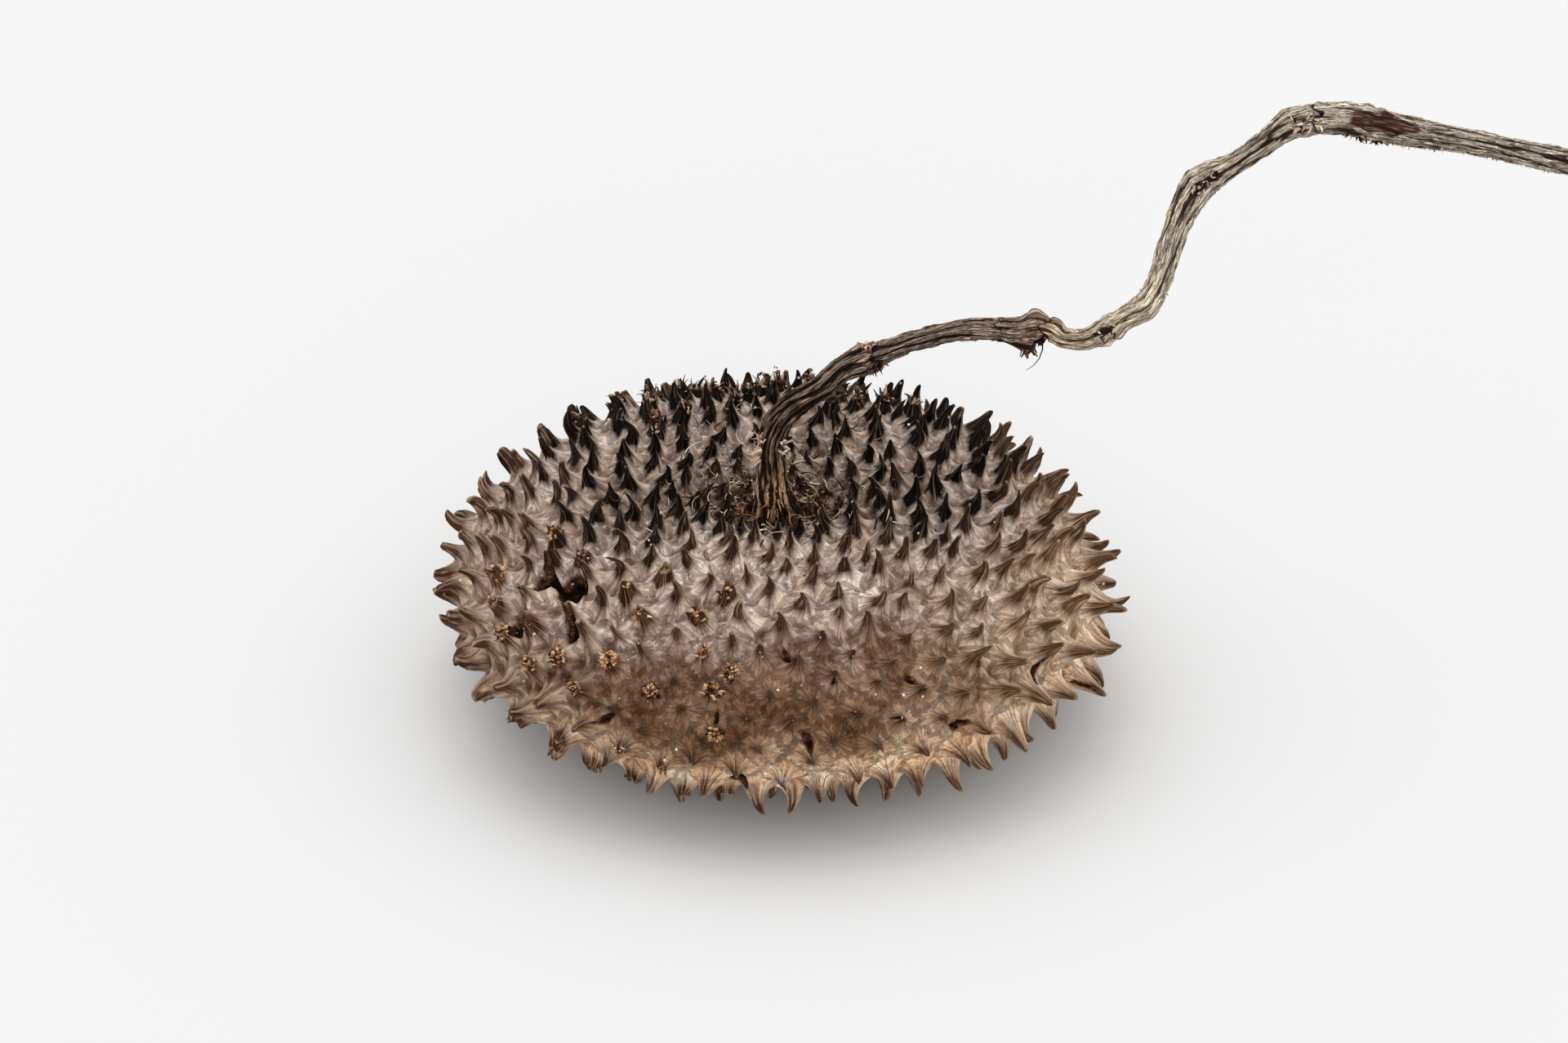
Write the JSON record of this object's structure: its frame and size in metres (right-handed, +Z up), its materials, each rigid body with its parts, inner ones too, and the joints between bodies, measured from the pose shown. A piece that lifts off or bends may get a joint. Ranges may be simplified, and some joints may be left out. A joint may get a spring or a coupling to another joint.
{
  "type": "dried spiny seed capsule",
  "caption": "Flattened, dimpled dry seed capsule covered in thorn-like spikes, on its long kinked woody stalk, resting on its underside.",
  "frame": {"origin": "on the plane that the capsule rests on, at the middle of the worn scar under the capsule's own axis", "axes": "+Z up along the capsule's axis, +X towards the stalk's free end, +Y away from the picture's camera"},
  "size_m": [0.1267, 0.0743, 0.0684],
  "materials": {
    "dry_husk": "dry matt husk, darker at the spike tips",
    "dry_bark": "rough dry bark"
  },
  "bodies": {
    "root": {"capsule": "dry_husk", "stalk": "dry_bark"}
  },
  "joints": []
}
